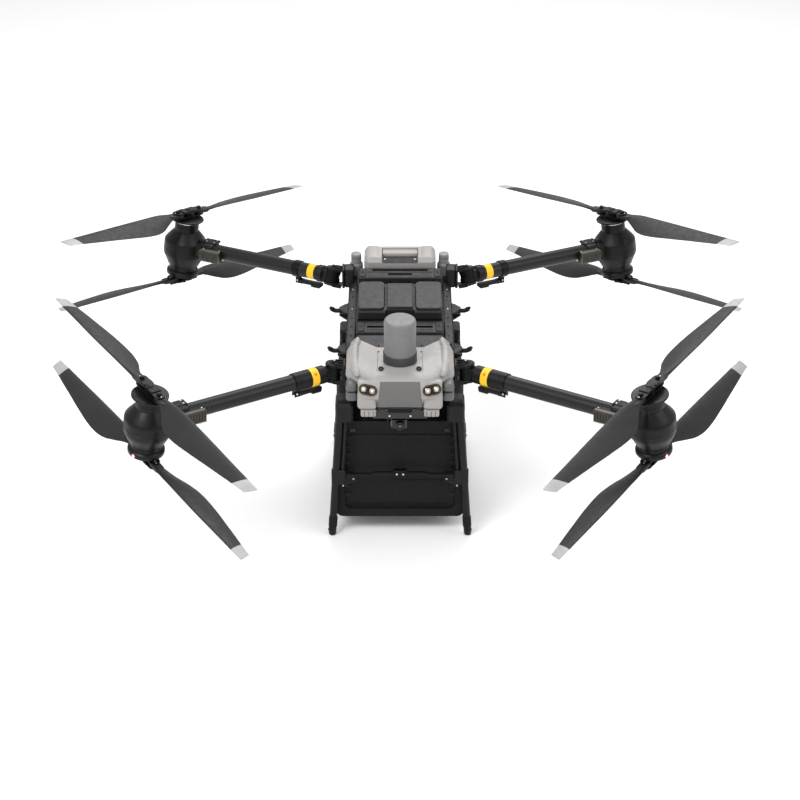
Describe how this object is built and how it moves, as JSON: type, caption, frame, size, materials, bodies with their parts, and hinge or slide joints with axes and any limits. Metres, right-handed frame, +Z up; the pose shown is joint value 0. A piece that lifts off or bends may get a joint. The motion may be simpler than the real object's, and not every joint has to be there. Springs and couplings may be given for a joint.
{
  "type": "cargo drone",
  "caption": "Heavy-lift multirotor drone with folding arms, coaxial rotors, folding blades, lift-out batteries, a camera gimbal and a hollow cargo case between its landing legs.",
  "frame": {"origin": "on the ground, at the middle of the feet-to-rotor bounding box seen from above", "axes": "+Z up, -Y towards the nose, +X to the drone's left"},
  "size_m": [2.73, 2.4868, 0.9535],
  "materials": {
    "antenna_left": "satin moulded",
    "antenna_right": "satin moulded",
    "arm_bracket_front_left": "satin black",
    "arm_bracket_front_right": "satin black",
    "arm_bracket_rear_left": "satin black",
    "arm_bracket_rear_right": "satin black",
    "arm_front_left": "woven carbon fibre tube, black fittings",
    "arm_front_right": "woven carbon fibre tube, black fittings",
    "arm_rear_left": "woven carbon fibre tube, black fittings",
    "arm_rear_right": "woven carbon fibre tube, black fittings",
    "cargo_case": "black expanded foam",
    "case_door": "black expanded foam",
    "centre_cover": "satin moulded",
    "front_battery": "satin moulded",
    "fuselage_frame": "dark carbon composite",
    "gimbal_camera": "satin moulded",
    "gimbal_yoke": "satin moulded",
    "headlamp_left": "clear front, dark surround",
    "headlamp_right": "clear front, dark surround",
    "landing_crossbar": "woven carbon fibre tube",
    "landing_gear_left": "woven carbon fibre tube",
    "landing_gear_right": "woven carbon fibre tube",
    "latch_lever_front_left": "matt black",
    "latch_lever_front_right": "matt black",
    "latch_lever_rear_left": "matt black",
    "latch_lever_rear_right": "matt black",
    "lower_blade_a_front_left": "matt carbon composite, pale tip",
    "lower_blade_a_front_right": "matt carbon composite, pale tip",
    "lower_blade_a_rear_left": "matt carbon composite, pale tip",
    "lower_blade_a_rear_right": "matt carbon composite, pale tip",
    "lower_blade_b_front_left": "matt carbon composite, pale tip",
    "lower_blade_b_front_right": "matt carbon composite, pale tip",
    "lower_blade_b_rear_left": "matt carbon composite, pale tip",
    "lower_blade_b_rear_right": "matt carbon composite, pale tip",
    "lower_hub_front_left": "satin black",
    "lower_hub_front_right": "satin black",
    "lower_hub_rear_left": "satin black",
    "lower_hub_rear_right": "satin black",
    "motor_front_left": "satin black",
    "motor_front_right": "satin black",
    "motor_rear_left": "satin black",
    "motor_rear_right": "satin black",
    "nose_deck": "satin moulded",
    "nose_shell": "warm grey, fine satin",
    "parachute_canister": "satin moulded",
    "radar_cover": "smooth black",
    "rear_battery": "satin moulded",
    "rear_shell": "warm grey, fine satin",
    "upper_blade_a_front_left": "matt carbon composite, pale tip",
    "upper_blade_a_front_right": "matt carbon composite, pale tip",
    "upper_blade_a_rear_left": "matt carbon composite, pale tip",
    "upper_blade_a_rear_right": "matt carbon composite, pale tip",
    "upper_blade_b_front_left": "matt carbon composite, pale tip",
    "upper_blade_b_front_right": "matt carbon composite, pale tip",
    "upper_blade_b_rear_left": "matt carbon composite, pale tip",
    "upper_blade_b_rear_right": "matt carbon composite, pale tip",
    "upper_hub_front_left": "satin black",
    "upper_hub_front_right": "satin black",
    "upper_hub_rear_left": "satin black",
    "upper_hub_rear_right": "satin black"
  },
  "bodies": {
    "airframe": {"antenna_left": "antenna_left", "antenna_right": "antenna_right", "arm_bracket_front_left": "arm_bracket_front_left", "arm_bracket_front_right": "arm_bracket_front_right", "arm_bracket_rear_left": "arm_bracket_rear_left", "arm_bracket_rear_right": "arm_bracket_rear_right", "cargo_case": "cargo_case", "centre_cover": "centre_cover", "fuselage_frame": "fuselage_frame", "headlamp_left": "headlamp_left", "headlamp_right": "headlamp_right", "landing_crossbar": "landing_crossbar", "landing_gear_left": "landing_gear_left", "landing_gear_right": "landing_gear_right", "nose_deck": "nose_deck", "nose_shell": "nose_shell", "parachute_canister": "parachute_canister", "radar_cover": "radar_cover", "rear_shell": "rear_shell"},
    "arm_front_right": {"arm_front_right": "arm_front_right", "motor_front_right": "motor_front_right"},
    "latch_lever_front_right": {"latch_lever_front_right": "latch_lever_front_right"},
    "upper_rotor_front_right": {"upper_hub_front_right": "upper_hub_front_right"},
    "upper_blade_a_front_right": {"upper_blade_a_front_right": "upper_blade_a_front_right"},
    "upper_blade_b_front_right": {"upper_blade_b_front_right": "upper_blade_b_front_right"},
    "lower_rotor_front_right": {"lower_hub_front_right": "lower_hub_front_right"},
    "lower_blade_a_front_right": {"lower_blade_a_front_right": "lower_blade_a_front_right"},
    "lower_blade_b_front_right": {"lower_blade_b_front_right": "lower_blade_b_front_right"},
    "arm_front_left": {"arm_front_left": "arm_front_left", "motor_front_left": "motor_front_left"},
    "latch_lever_front_left": {"latch_lever_front_left": "latch_lever_front_left"},
    "upper_rotor_front_left": {"upper_hub_front_left": "upper_hub_front_left"},
    "upper_blade_a_front_left": {"upper_blade_a_front_left": "upper_blade_a_front_left"},
    "upper_blade_b_front_left": {"upper_blade_b_front_left": "upper_blade_b_front_left"},
    "lower_rotor_front_left": {"lower_hub_front_left": "lower_hub_front_left"},
    "lower_blade_a_front_left": {"lower_blade_a_front_left": "lower_blade_a_front_left"},
    "lower_blade_b_front_left": {"lower_blade_b_front_left": "lower_blade_b_front_left"},
    "arm_rear_right": {"arm_rear_right": "arm_rear_right", "motor_rear_right": "motor_rear_right"},
    "latch_lever_rear_right": {"latch_lever_rear_right": "latch_lever_rear_right"},
    "upper_rotor_rear_right": {"upper_hub_rear_right": "upper_hub_rear_right"},
    "upper_blade_a_rear_right": {"upper_blade_a_rear_right": "upper_blade_a_rear_right"},
    "upper_blade_b_rear_right": {"upper_blade_b_rear_right": "upper_blade_b_rear_right"},
    "lower_rotor_rear_right": {"lower_hub_rear_right": "lower_hub_rear_right"},
    "lower_blade_a_rear_right": {"lower_blade_a_rear_right": "lower_blade_a_rear_right"},
    "lower_blade_b_rear_right": {"lower_blade_b_rear_right": "lower_blade_b_rear_right"},
    "arm_rear_left": {"arm_rear_left": "arm_rear_left", "motor_rear_left": "motor_rear_left"},
    "latch_lever_rear_left": {"latch_lever_rear_left": "latch_lever_rear_left"},
    "upper_rotor_rear_left": {"upper_hub_rear_left": "upper_hub_rear_left"},
    "upper_blade_a_rear_left": {"upper_blade_a_rear_left": "upper_blade_a_rear_left"},
    "upper_blade_b_rear_left": {"upper_blade_b_rear_left": "upper_blade_b_rear_left"},
    "lower_rotor_rear_left": {"lower_hub_rear_left": "lower_hub_rear_left"},
    "lower_blade_a_rear_left": {"lower_blade_a_rear_left": "lower_blade_a_rear_left"},
    "lower_blade_b_rear_left": {"lower_blade_b_rear_left": "lower_blade_b_rear_left"},
    "front_battery": {"front_battery": "front_battery"},
    "rear_battery": {"rear_battery": "rear_battery"},
    "case_door": {"case_door": "case_door"},
    "gimbal_yoke": {"gimbal_yoke": "gimbal_yoke"},
    "gimbal_camera": {"gimbal_camera": "gimbal_camera"}
  },
  "joints": [
    {"name": "arm_fold_front_right", "type": "hinge", "parent": "airframe", "child": "arm_front_right", "pos_m": [-0.25, -0.2801, 0.6863], "axis": [-0.117, -0.1263, -0.9851], "range_deg": [0, 112.59]},
    {"name": "latch_front_right", "type": "hinge", "parent": "arm_front_right", "child": "latch_lever_front_right", "pos_m": [-0.38706, -0.36949, 0.64536], "axis": [-0.5463, 0.8376, 0], "range_deg": [0, 55]},
    {"name": "upper_spin_front_right", "type": "hinge", "parent": "arm_front_right", "child": "upper_rotor_front_right", "pos_m": [-0.875, -0.7101, 0.8563], "axis": [0.1296, -0.0722, 0.9889], "continuous": true},
    {"name": "upper_blade_fold_a_front_right", "type": "hinge", "parent": "upper_rotor_front_right", "child": "upper_blade_a_front_right", "pos_m": [-0.8408, -0.75628, 0.84845], "axis": [0.1296, -0.0722, 0.9889], "range_deg": [0, 67]},
    {"name": "upper_blade_fold_b_front_right", "type": "hinge", "parent": "upper_rotor_front_right", "child": "upper_blade_b_front_right", "pos_m": [-0.9092, -0.66392, 0.86415], "axis": [-0.1296, 0.0722, -0.9889], "range_deg": [0, 114]},
    {"name": "lower_spin_front_right", "type": "hinge", "parent": "arm_front_right", "child": "lower_rotor_front_right", "pos_m": [-0.91205, -0.68945, 0.57346], "axis": [0.1296, -0.0722, 0.9889], "continuous": true},
    {"name": "lower_blade_fold_a_front_right", "type": "hinge", "parent": "lower_rotor_front_right", "child": "lower_blade_a_front_right", "pos_m": [-0.87785, -0.73563, 0.56561], "axis": [0.1296, -0.0722, 0.9889], "range_deg": [0, 67]},
    {"name": "lower_blade_fold_b_front_right", "type": "hinge", "parent": "lower_rotor_front_right", "child": "lower_blade_b_front_right", "pos_m": [-0.94625, -0.64327, 0.58131], "axis": [-0.1296, 0.0722, -0.9889], "range_deg": [0, 114]},
    {"name": "arm_fold_front_left", "type": "hinge", "parent": "airframe", "child": "arm_front_left", "pos_m": [0.25, -0.2801, 0.6863], "axis": [-0.117, 0.1263, 0.9851], "range_deg": [0, 112.59]},
    {"name": "latch_front_left", "type": "hinge", "parent": "arm_front_left", "child": "latch_lever_front_left", "pos_m": [0.38706, -0.36949, 0.64536], "axis": [-0.5463, -0.8376, 0], "range_deg": [0, 55]},
    {"name": "upper_spin_front_left", "type": "hinge", "parent": "arm_front_left", "child": "upper_rotor_front_left", "pos_m": [0.875, -0.7101, 0.8563], "axis": [-0.1296, -0.0722, 0.9889], "continuous": true},
    {"name": "upper_blade_fold_a_front_left", "type": "hinge", "parent": "upper_rotor_front_left", "child": "upper_blade_a_front_left", "pos_m": [0.8408, -0.75628, 0.84845], "axis": [0.1296, 0.0722, -0.9889], "range_deg": [0, 67]},
    {"name": "upper_blade_fold_b_front_left", "type": "hinge", "parent": "upper_rotor_front_left", "child": "upper_blade_b_front_left", "pos_m": [0.9092, -0.66392, 0.86415], "axis": [-0.1296, -0.0722, 0.9889], "range_deg": [0, 114]},
    {"name": "lower_spin_front_left", "type": "hinge", "parent": "arm_front_left", "child": "lower_rotor_front_left", "pos_m": [0.91205, -0.68945, 0.57346], "axis": [-0.1296, -0.0722, 0.9889], "continuous": true},
    {"name": "lower_blade_fold_a_front_left", "type": "hinge", "parent": "lower_rotor_front_left", "child": "lower_blade_a_front_left", "pos_m": [0.87785, -0.73563, 0.56561], "axis": [0.1296, 0.0722, -0.9889], "range_deg": [0, 67]},
    {"name": "lower_blade_fold_b_front_left", "type": "hinge", "parent": "lower_rotor_front_left", "child": "lower_blade_b_front_left", "pos_m": [0.94625, -0.64327, 0.58131], "axis": [-0.1296, -0.0722, 0.9889], "range_deg": [0, 114]},
    {"name": "arm_fold_rear_right", "type": "hinge", "parent": "airframe", "child": "arm_rear_right", "pos_m": [-0.269, 0.4049, 0.7413], "axis": [0.1791, 0.2595, 0.949], "range_deg": [0, 107.15]},
    {"name": "latch_rear_right", "type": "hinge", "parent": "arm_rear_right", "child": "latch_lever_rear_right", "pos_m": [-0.41015, 0.48054, 0.6883], "axis": [0.4723, 0.8814, 0], "range_deg": [0, 55]},
    {"name": "upper_spin_rear_right", "type": "hinge", "parent": "arm_rear_right", "child": "upper_rotor_rear_right", "pos_m": [-0.875, 0.7499, 0.8563], "axis": [0.1296, 0.0722, 0.9889], "continuous": true},
    {"name": "upper_blade_fold_a_rear_right", "type": "hinge", "parent": "upper_rotor_rear_right", "child": "upper_blade_a_rear_right", "pos_m": [-0.83634, 0.79236, 0.84814], "axis": [-0.1296, -0.0722, -0.9889], "range_deg": [0, 67.7]},
    {"name": "upper_blade_fold_b_rear_right", "type": "hinge", "parent": "upper_rotor_rear_right", "child": "upper_blade_b_rear_right", "pos_m": [-0.91366, 0.70744, 0.86446], "axis": [0.1296, 0.0722, 0.9889], "range_deg": [0, 113.3]},
    {"name": "lower_spin_rear_right", "type": "hinge", "parent": "arm_rear_right", "child": "lower_rotor_rear_right", "pos_m": [-0.91205, 0.72925, 0.57346], "axis": [0.1296, 0.0722, 0.9889], "continuous": true},
    {"name": "lower_blade_fold_a_rear_right", "type": "hinge", "parent": "lower_rotor_rear_right", "child": "lower_blade_a_rear_right", "pos_m": [-0.87339, 0.77171, 0.5653], "axis": [-0.1296, -0.0722, -0.9889], "range_deg": [0, 67.7]},
    {"name": "lower_blade_fold_b_rear_right", "type": "hinge", "parent": "lower_rotor_rear_right", "child": "lower_blade_b_rear_right", "pos_m": [-0.95071, 0.68679, 0.58163], "axis": [0.1296, 0.0722, 0.9889], "range_deg": [0, 113.3]},
    {"name": "arm_fold_rear_left", "type": "hinge", "parent": "airframe", "child": "arm_rear_left", "pos_m": [0.269, 0.4049, 0.7413], "axis": [0.1791, -0.2595, -0.949], "range_deg": [0, 107.15]},
    {"name": "latch_rear_left", "type": "hinge", "parent": "arm_rear_left", "child": "latch_lever_rear_left", "pos_m": [0.41015, 0.48054, 0.6883], "axis": [0.4723, -0.8814, 0], "range_deg": [0, 55]},
    {"name": "upper_spin_rear_left", "type": "hinge", "parent": "arm_rear_left", "child": "upper_rotor_rear_left", "pos_m": [0.875, 0.7499, 0.8563], "axis": [-0.1296, 0.0722, 0.9889], "continuous": true},
    {"name": "upper_blade_fold_a_rear_left", "type": "hinge", "parent": "upper_rotor_rear_left", "child": "upper_blade_a_rear_left", "pos_m": [0.83634, 0.79236, 0.84814], "axis": [-0.1296, 0.0722, 0.9889], "range_deg": [0, 67.7]},
    {"name": "upper_blade_fold_b_rear_left", "type": "hinge", "parent": "upper_rotor_rear_left", "child": "upper_blade_b_rear_left", "pos_m": [0.91366, 0.70744, 0.86446], "axis": [0.1296, -0.0722, -0.9889], "range_deg": [0, 113.3]},
    {"name": "lower_spin_rear_left", "type": "hinge", "parent": "arm_rear_left", "child": "lower_rotor_rear_left", "pos_m": [0.91205, 0.72925, 0.57346], "axis": [-0.1296, 0.0722, 0.9889], "continuous": true},
    {"name": "lower_blade_fold_a_rear_left", "type": "hinge", "parent": "lower_rotor_rear_left", "child": "lower_blade_a_rear_left", "pos_m": [0.87339, 0.77171, 0.5653], "axis": [-0.1296, 0.0722, 0.9889], "range_deg": [0, 67.7]},
    {"name": "lower_blade_fold_b_rear_left", "type": "hinge", "parent": "lower_rotor_rear_left", "child": "lower_blade_b_rear_left", "pos_m": [0.95071, 0.68679, 0.58163], "axis": [0.1296, -0.0722, -0.9889], "range_deg": [0, 113.3]},
    {"name": "front_battery_lift", "type": "slide", "parent": "airframe", "child": "front_battery", "axis": [0, 0, 1], "range_m": [0, 0.19]},
    {"name": "rear_battery_lift", "type": "slide", "parent": "airframe", "child": "rear_battery", "axis": [0, 0, 1], "range_m": [0, 0.22]},
    {"name": "case_door_hinge", "type": "hinge", "parent": "airframe", "child": "case_door", "pos_m": [0, 0.3274, 0.4603], "axis": [1, 0, 0], "range_deg": [0, 80]},
    {"name": "gimbal_pan", "type": "hinge", "parent": "airframe", "child": "gimbal_yoke", "pos_m": [-0.005, -0.3976, 0.6038], "axis": [0, 0, 1], "range_deg": [-60, 60]},
    {"name": "gimbal_tilt", "type": "hinge", "parent": "gimbal_yoke", "child": "gimbal_camera", "pos_m": [0, -0.3976, 0.5423], "axis": [1, 0, 0], "range_deg": [-25, 85]}
  ],
  "couplings": [
    {"joint": "upper_blade_fold_a_front_right", "follows": "arm_fold_front_right", "ratio": 0.59064},
    {"joint": "upper_blade_fold_b_front_right", "follows": "arm_fold_front_right", "ratio": 1.0081},
    {"joint": "lower_blade_fold_a_front_right", "follows": "arm_fold_front_right", "ratio": 0.59064},
    {"joint": "lower_blade_fold_b_front_right", "follows": "arm_fold_front_right", "ratio": 1.0081},
    {"joint": "upper_blade_fold_a_front_left", "follows": "arm_fold_front_left", "ratio": 0.59064},
    {"joint": "upper_blade_fold_b_front_left", "follows": "arm_fold_front_left", "ratio": 1.0081},
    {"joint": "lower_blade_fold_a_front_left", "follows": "arm_fold_front_left", "ratio": 0.59064},
    {"joint": "lower_blade_fold_b_front_left", "follows": "arm_fold_front_left", "ratio": 1.0081},
    {"joint": "upper_blade_fold_a_rear_right", "follows": "arm_fold_rear_right", "ratio": 0.62716},
    {"joint": "upper_blade_fold_b_rear_right", "follows": "arm_fold_rear_right", "ratio": 1.0527},
    {"joint": "lower_blade_fold_a_rear_right", "follows": "arm_fold_rear_right", "ratio": 0.62716},
    {"joint": "lower_blade_fold_b_rear_right", "follows": "arm_fold_rear_right", "ratio": 1.0527},
    {"joint": "upper_blade_fold_a_rear_left", "follows": "arm_fold_rear_left", "ratio": 0.62716},
    {"joint": "upper_blade_fold_b_rear_left", "follows": "arm_fold_rear_left", "ratio": 1.0527},
    {"joint": "lower_blade_fold_a_rear_left", "follows": "arm_fold_rear_left", "ratio": 0.62716},
    {"joint": "lower_blade_fold_b_rear_left", "follows": "arm_fold_rear_left", "ratio": 1.0527}
  ]
}
